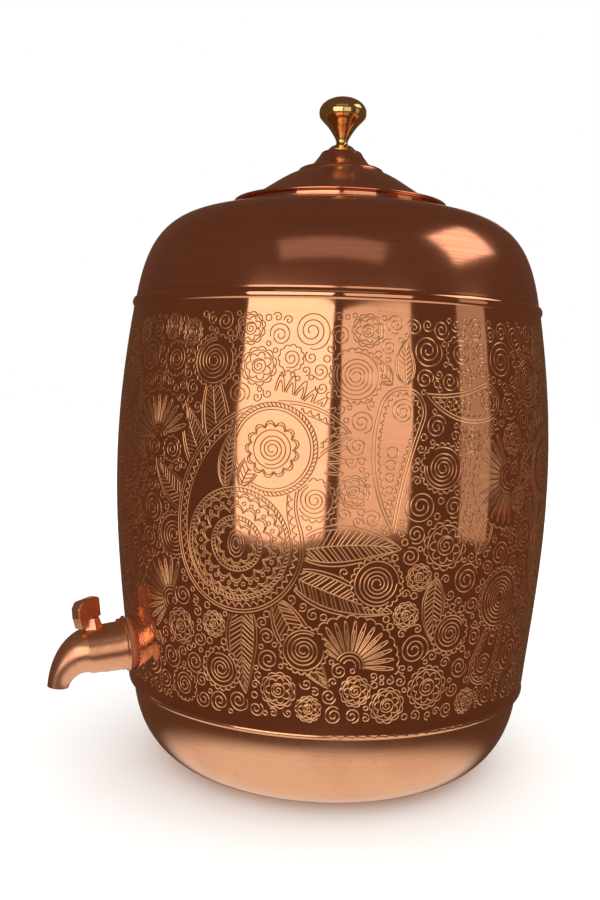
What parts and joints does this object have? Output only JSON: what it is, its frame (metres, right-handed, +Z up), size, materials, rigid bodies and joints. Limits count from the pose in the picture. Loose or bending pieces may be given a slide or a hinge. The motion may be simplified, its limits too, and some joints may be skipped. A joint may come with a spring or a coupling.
{
  "type": "water dispenser",
  "caption": "Barrel-shaped copper water dispenser with a domed shoulder, a lift-off lid with a knob, and a quarter-turn plug tap low on one side.",
  "frame": {"origin": "centre of the flat base, on the surface the vessel stands on", "axes": "+Z up along the vessel's axis; the tap points towards -X, turned 22 degrees towards -Y"},
  "size_m": [0.3095, 0.2798, 0.4293],
  "materials": {
    "polished_copper": "polished copper, hand engraved on the barrel",
    "satin_copper": "satin copper, faintly brushed round the axis",
    "polished_brass": "polished turned brass",
    "plain_brass": "plain machined brass",
    "seal_rubber": "matt dark rubber"
  },
  "bodies": {
    "vessel": {"bottom_bowl": "satin_copper", "barrel": "polished_copper", "shoulder": "polished_copper", "upper_bead": "polished_copper", "lower_bead": "satin_copper", "mouth_ring": "polished_copper", "tap_body": "satin_copper", "tap_escutcheon": "satin_copper", "outer_gasket": "seal_rubber", "inner_gasket": "seal_rubber", "inner_washer": "plain_brass", "tap_backnut": "plain_brass"},
    "plug_and_lever": {"tap_plug": "satin_copper", "tap_lever": "satin_copper", "lever_screw": "plain_brass", "plug_washer": "plain_brass", "plug_screw": "plain_brass"},
    "lid": {"lid_cap": "polished_copper", "lid_skirt": "satin_copper", "lid_knob": "polished_brass", "knob_washer": "plain_brass", "knob_screw": "plain_brass"}
  },
  "joints": [
    {"name": "tap_turn", "type": "hinge", "parent": "vessel", "child": "plug_and_lever", "pos_m": [-0.14262, -0.05762, 0.07663], "axis": [-0.1014, -0.041, 0.994], "range_deg": [-40, 50]},
    {"name": "lid_lift", "type": "slide", "parent": "vessel", "child": "lid", "axis": [0, 0, 1], "range_m": [0, 0.12]}
  ]
}
